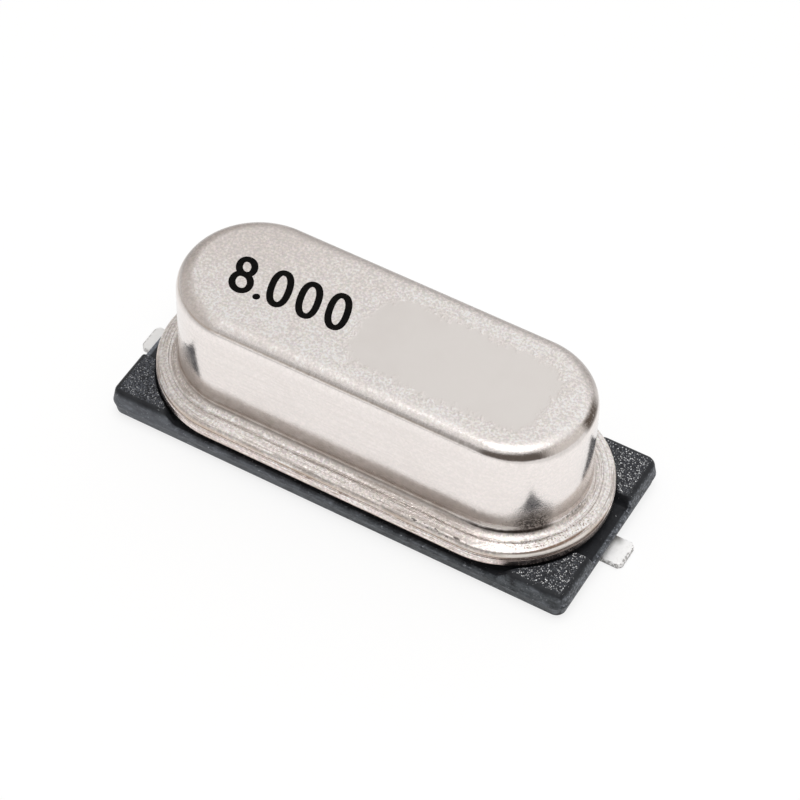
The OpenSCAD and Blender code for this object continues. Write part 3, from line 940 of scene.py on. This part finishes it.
def plateMesh():
    v = plate
    xs, ys = [
        spread(middle, coarse, size / 2 - v["corner"], v["fine"])
        for middle, coarse, size in zip(v["fineFrom"], v["coarse"], (v["length"], v["width"]))
    ]
    points = [(x, y, plateHeight(x, y)) for x in xs for y in ys]
    ny = len(ys)
    corners = [i * ny + j for i in range(len(xs) - 1) for j in range(ny - 1)]
    faces = [(a, a + ny, a + ny + 1, a + 1) for a in corners]
    # the outline as (grid point, outward direction), with a fan at each corner
    fan = 14
    quarter = math.pi / 2
    loop = []
    sides = [[(xs[-1], y) for y in ys], [(x, ys[-1]) for x in xs[::-1]]]
    sides += [[(xs[0], y) for y in ys[::-1]], [(x, ys[0]) for x in xs]]
    for n, side in enumerate(sides):
        loop += [(place, quarter * n) for place in side]
        loop += [(side[-1], quarter * n + quarter * k / fan) for k in range(1, fan)]
    # rings down the side: the stretch, and the share of it or the angle round it
    outFoot = v["corner"] - v["lowerDraft"]
    footRadius = v["footEdge"]
    rings = [("flat", k / 8) for k in range(9)]
    rings += [("edge", quarter * k / 8) for k in range(1, 9)]
    rings += [("upper", share) for share in (0.75, 0.5, 0.25, 0.08, 0.0)]
    rings += [("lower", share) for share in (0.94, 0.6, 0.3, 0.1)]
    rings += [("foot", quarter * k / 4) for k in range(1, 5)]
    rings += [("under", 0.5), ("under", 0.0)]
    base = len(points)
    for kind, q in rings:
        for (x, y), facing in loop:
            ox, oy = math.cos(facing), math.sin(facing)
            rim = plateHeight(x + ox * v["corner"], y + oy * v["corner"])
            share = (rim - v["floor"]) / (v["pad"] - v["floor"])
            radius = v["openEdge"] + (v["topEdge"] - v["openEdge"]) * share
            lean = v["upperDraft"] * (rim - v["parting"]) / (v["pad"] - v["parting"])
            top = v["corner"] - lean
            if kind == "flat":
                out = q * (top - radius)
                z = plateHeight(x + ox * out, y + oy * out)
            elif kind == "edge":
                out = top - radius + radius * math.sin(q)
                z = plateHeight(x + ox * out, y + oy * out) - radius * (1 - math.cos(q))
            elif kind == "upper":
                high = plateHeight(x + ox * top, y + oy * top) - radius
                z = v["parting"] + (high - v["parting"]) * q
                out = v["corner"] - lean * q
            elif kind == "lower":
                z = v["bottom"] + footRadius + (v["parting"] - v["bottom"] - footRadius) * q
                out = outFoot + v["lowerDraft"] * q - (0.0 if q > 0.9 else v["flash"])
            elif kind == "foot":
                out = outFoot - v["flash"] - footRadius * (1 - math.cos(q))
                z = v["bottom"] + footRadius * (1 - math.sin(q))
            else:
                out = (outFoot - v["flash"] - footRadius) * q
                z = v["bottom"]
            points.append((x + ox * out, y + oy * out, z))
    around = len(loop)
    last = len(points) - around
    for low in range(base, last, around):
        faces += band(low, low + around, around)
    # the underside, a plain sheet of the same outline
    faces.append(list(range(last, last + around)))
    return meshObject("plateMoulded", points, faces)


def grainTree():
    # Raises the moulded grain on the four pads, inside a smooth border
    s, get = startTree("padGrain", {"Geometry": None, **grainValues})
    place = s.node("GeometryNodeInputPosition")
    x, y, z = axes(place)
    inset = s.maths("MINIMUM", get["Length"] / 2.0 - abs(x), get["Width"] / 2.0 - abs(y))
    border = ((inset - get["Border"]) / get["Fade"]).held(0.0, 1.0)
    high = s.maths("GREATER_THAN", z, get["Lowest"])
    moved = place.vector("SCALE", scale=1.0 / get["Grain size"])
    moved = moved.vector("ADD", joined(s, get["Seed"], 0.0, 0.0))
    lumps = 0.75 - cells(s, moved, 1.0, "Distance", "SMOOTH_F1")
    lumps = lumps + (noise(s, moved, 0.7) - 0.5) * 0.8
    lift = (lumps - 0.62) * get["Grain height"] * border * high
    raised = {"Geometry": get["Geometry"], "Offset": joined(s, 0.0, 0.0, lift)}
    return endTree(s, s.node("GeometryNodeSetPosition", raised))


def boxCutter(low, high):
    corners = list(itertools.product(*zip(low, high)))
    faces = [(0, 1, 3, 2), (4, 6, 7, 5), (0, 4, 5, 1), (2, 3, 7, 6), (0, 2, 6, 4), (1, 5, 7, 3)]
    return meshObject("cutter", corners, faces)


insulator = settle(plateMesh(), finishes["plastic"])
grainValues = {
    "Grain height": 0.03,
    "Grain size": 0.075,
    "Lowest": plate["pad"] - 0.004,
    "Length": plate["length"],
    "Width": plate["width"],
    "Border": 0.18,
    "Fade": 0.06,
    "Seed": 7,
}
grown(insulator, grainTree(), grainValues)
slot = {"halfWidth": 0.4, "halfThrough": 0.255, "top": 1.0, "grooveTop": 0.22, "grooveEnd": 6.5}
ways = []
for side in (-1, 1):
    x = side * leads["pitch"] / 2
    w, h = slot["halfWidth"], slot["halfThrough"]
    ways.append(boxCutter((x - h, -w, 0.0), (x + h, w, slot["top"])))
    near, far = sorted((x, side * slot["grooveEnd"]))
    ways.append(boxCutter((near, -w, 0.0), (far, w, slot["grooveTop"])))
cutAway(insulator, ways, finishes["plastic"])
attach(insulator, "root")
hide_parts("insulator_base")
print("plate made,", len(insulator.data.polygons), "faces")

wire = {
    "radius": 0.215,
    "headRadius": 0.4,
    "headTop": 1.81,
    "headThickness": 0.12,
    "flatTop": 0.46,
    "bendTop": 0.28,
    "bendRadius": 0.19,
    "halfWidth": 0.36,
    "halfThickness": 0.09,
    "square": 6.0,
    "ringPoints": 48,
    "flattenSteps": 8,
    "bendSteps": 12,
    # x, and how much is off the half width and the half thickness
    "tabRings": (
        *((x, 0.0, 0.0) for x in (3.4, 4.2, 5.0, 5.6, 5.995)),
        (6.025, 0.004, 0.0),
        (6.065, 0.042, 0.0),
        (6.091, 0.068, 0.003),
        (6.105, 0.085, 0.016),
    ),
}


def leadRings():
    # (centre x, centre z, turn of the section, half width, half thickness, squareness)
    v = wire
    x = leads["pitch"] / 2
    low = v["headTop"] - v["headThickness"]
    ease = ((0.0, 0.02), (0.006, 0.006), (0.02, 0.0))
    stem = [(v["headTop"] - drop, v["headRadius"] - narrow) for drop, narrow in ease]
    stem += [(low + rise, v["headRadius"] - narrow) for rise, narrow in ease[::-1]]
    stem += [(low - drop, v["radius"] + wider) for drop, wider in ease]
    stem.append((v["flatTop"], v["radius"]))
    rings = [(x, z, 0.0, r, r, 2.0) for z, r in stem]
    steps = v["flattenSteps"]
    for k in range(1, steps + 1):
        t = eased(k / steps)
        z = v["flatTop"] + (v["bendTop"] - v["flatTop"]) * k / steps
        wide = v["radius"] + (v["halfWidth"] - v["radius"]) * t
        thick = v["radius"] + (v["halfThickness"] - v["radius"]) * t
        rings.append((x, z, 0.0, wide, thick, 2.0 + (v["square"] - 2.0) * t))
    centre = x + v["bendRadius"]
    for k in range(1, v["bendSteps"] + 1):
        turn = math.pi / 2 * k / v["bendSteps"]
        out = centre - v["bendRadius"] * math.cos(turn)
        up = v["bendTop"] - v["bendRadius"] * math.sin(turn)
        rings.append((out, up, turn, v["halfWidth"], v["halfThickness"], v["square"]))
    for x, narrow, thin in v["tabRings"]:
        wide, thick = v["halfWidth"] - narrow, v["halfThickness"] - thin
        rings.append((x, v["halfThickness"], math.pi / 2, wide, thick, v["square"]))
    return rings


def leadMesh(name, side):
    count = wire["ringPoints"]
    points = []
    for x, z, turn, wide, thick, square in leadRings():
        # the section's thickness runs along x at the top and along z on the tab
        dx, dz = math.cos(turn), math.sin(turn)
        for k in range(count):
            across, through = softOval(2 * math.pi * (k + 0.5) / count, wide, thick, square)
            points.append((side * (x + dx * through), across, z + dz * through))
    last = len(points) - count
    faces = [list(range(count))]
    for low in range(0, last, count):
        faces += band(low, low + count, count, True)
    faces.append(list(range(last, last + count)))
    return meshObject(name, points, faces)


for side, word in ((-1, "left"), (1, "right")):
    lead = settle(leadMesh("leadTinned" + word.capitalize(), side), finishes["tin"])
    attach(lead, "root")
    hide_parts("lead_" + word)
print("leads made")

# what each name stands for, in the order of the numbers
innerNames = ("first", "second", "size", "metallic", "roughness", "grainDepth")
innerLooks = {
    "sealGlass": ((0.03, 0.045, 0.06), (0.05, 0.07, 0.085), 6.0, 0.0, 0.12, 0.002),
    "springSheet": ((0.62, 0.60, 0.54), (0.48, 0.45, 0.40), 14.0, 1.0, 0.3, 0.002),
    "lappedQuartz": ((0.80, 0.84, 0.86), (0.90, 0.92, 0.93), 30.0, 0.0, 0.22, 0.001),
    "silverFilm": ((0.86, 0.85, 0.82), (0.78, 0.77, 0.74), 24.0, 1.0, 0.2, 0.001),
    "silverPaste": ((0.50, 0.49, 0.47), (0.66, 0.65, 0.62), 18.0, 0.5, 0.5, 0.008),
}
innerMore = {"springSheet": {"lines": 2.0}, "lappedQuartz": {"clear": 0.7, "index": 1.54}}
innerNodes = {
    "sealGlass": ("glass_seal_left", "glass_seal_right"),
    "springSheet": ("mount_clip_left", "mount_clip_right"),
    "lappedQuartz": ("quartz_blank",),
    "silverFilm": ("electrode_top", "electrode_bottom"),
    "silverPaste": ("adhesive_left", "adhesive_right"),
}
for name, look in innerLooks.items():
    finish = innerFinish(name, {**dict(zip(innerNames, look)), **innerMore.get(name, {})})
    for node in innerNodes[name]:
        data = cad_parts[node].data
        data.materials.clear()
        data.materials.append(finish)
print("inner pieces finished")


def stageFloor():
    # White where the camera sees it. In reflections it is white near the object and falls off.
    reach = floorLook["reach"]
    corners = [(a * reach, b * reach, 0.0) for a, b in ((-1, -1), (1, -1), (1, 1), (-1, 1))]
    floor = meshObject("floor", corners, [(0, 1, 2, 3)])
    made = bpy.data.materials.new("paleFloor")
    s = emptyTree(made)
    x = axes(s.node("ShaderNodeNewGeometry", output="Position"))[0]
    kinds = ("Is Camera Ray", "Is Glossy Ray", "Is Transmission Ray")
    seen, mirrored, clear = [s.node("ShaderNodeLightPath", output=kind) for kind in kinds]
    tone = blendColour(s, seen, floorLook["tone"], (1.0, 1.0, 1.0))
    matt = s.node("ShaderNodeBsdfDiffuse", {"Color": tone})
    far = 0.0
    for start, end, fall in floorLook["falls"]:
        far = x.between(start * mm, end * mm) * fall + far
    level = 1.0 - far * mirrored
    white = s.node("ShaderNodeEmission", {"Strength": level})
    share = s.maths("MAXIMUM", seen, clear) * floorLook["seen"]
    share = s.maths("MAXIMUM", share, mirrored * floorLook["mirrored"])
    both = s.node("ShaderNodeMixShader", {0: share, 1: matt, 2: white})
    s.end("ShaderNodeOutputMaterial", "Surface", both)
    floor.data.materials.append(made)


floorLook = {
    "reach": 1500.0,
    "tone": (0.80, 0.80, 0.80),
    "seen": 0.8,
    "mirrored": 0.5,
    # start and end in x, in mm, and how much darker it mirrors there
    "falls": ((-7.0, -16.0, 0.45), (-15.0, -26.0, 0.2), (8.0, 16.0, 0.35)),
}
stageFloor()

room = {
    "sky": (0.83, 0.825, 0.82),
    "left": (0.50, 0.475, 0.455),
    "right": (0.60, 0.575, 0.55),
    "box": (1.22, 1.21, 1.20),
    "flag": (0.105, 0.09, 0.08),
    "boxMiddle": (0.18, -0.10),
    "boxReach": (0.36, 0.33),
    # the flag's middle angle, and how its two edges slope
    "flagMiddle": 0.52,
    "flagSlopes": (0.143, -0.13),
}
roomZones = {
    "left": {"x": (-0.36, -0.52)},
    "right": {"x": (0.45, 0.68)},
    "box": {"box": (1.2, 0.75), "up": (0.3, 0.6)},
    "flag": {"low": (-0.04, 0.11), "high": (0.82, 0.60), "around": (-0.68, -0.07, 1.01, 1.43)},
}


def roomLight():
    # A pale room with a soft overhead box, duller sides and a dark flag low in front
    world = bpy.data.worlds.new("studio")
    bpy.context.scene.world = world
    s = emptyTree(world)
    x, y, up = axes(s.node("ShaderNodeTexCoord", output="Generated").vector("NORMALIZE"))
    around = s.maths("ARCTAN2", x, 0.0 - y)
    axis = {"x": x, "up": up, "around": around}
    across = [(q - m) / r for q, m, r in zip((x, y), room["boxMiddle"], room["boxReach"])]
    axis["box"] = joined(s, *across, 0.0).vector("LENGTH", output=1)
    turned = around - room["flagMiddle"]
    axis["low"], axis["high"] = [up + turned * slope for slope in room["flagSlopes"]]
    coat = Coat(s, room, room["sky"])
    for tone, share in zoned(axis, roomZones).items():
        coat.add(share, tone)
    studio = s.node("ShaderNodeBackground", {"Color": coat.colour})
    plain = s.node("ShaderNodeBackground", {"Color": (1.0, 1.0, 1.0, 1.0)})
    seen = s.node("ShaderNodeLightPath", output="Is Camera Ray")
    both = s.node("ShaderNodeMixShader", {0: seen, 1: studio, 2: plain})
    s.end("ShaderNodeOutputWorld", "Surface", both)


roomLight()

lamps = {
    # place and side in mm, radiance, and whether it shows in reflections
    "key": ((14.0, -26.0, 116.0), 30.0, 6.0, True),
    "fill": ((4.0, -8.0, 118.0), 70.0, 2.5, False),
}
# square lamps that face the part, of the same radiance at any size
for name, (place, side, radiance, mirrored) in lamps.items():
    data = bpy.data.lights.new(name, "AREA")
    data.size = side * mm
    data.energy = radiance * math.pi * data.size * data.size
    lamp = bpy.data.objects.new(name, data)
    bpy.context.scene.collection.objects.link(lamp)
    lamp.location = Vector(place) * mm
    aim = Vector((0.0, 0.0, 2.0)) - Vector(place)
    lamp.rotation_euler = aim.to_track_quat("-Z", "Y").to_euler()
    lamp.visible_glossy = mirrored

camera = {
    "azimuth": 29.04,
    "elevation": 50.86,
    "distance": 71.67,
    # it stands off the first point and looks at the second
    "from": (0.0, 0.0, 0.12),
    "aim": (-0.049823, 0.84005, 0.737397),
    "roll": 1.65796,
    "lens": 146.03,
}


def stageCamera():
    v = camera
    a, e = math.radians(v["azimuth"]), math.radians(v["elevation"])
    back = Vector((math.sin(a) * math.cos(e), -math.cos(a) * math.cos(e), math.sin(e)))
    place = Vector(v["from"]) + back * v["distance"]
    turn = (Vector(v["aim"]) - place).to_track_quat("-Z", "Y")
    turn @= Quaternion((0.0, 0.0, 1.0), math.radians(v["roll"]))
    data = bpy.data.cameras.new("camera")
    data.lens = v["lens"]
    data.clip_start, data.clip_end = 0.005, 10.0
    made = bpy.data.objects.new("camera", data)
    bpy.context.scene.collection.objects.link(made)
    made.location = place * mm
    made.rotation_euler = turn.to_euler()
    bpy.context.scene.camera = made


stageCamera()
bpy.context.scene.view_settings.view_transform = "Standard"
print("stage, light and camera made")

bpy.context.view_layer.update()
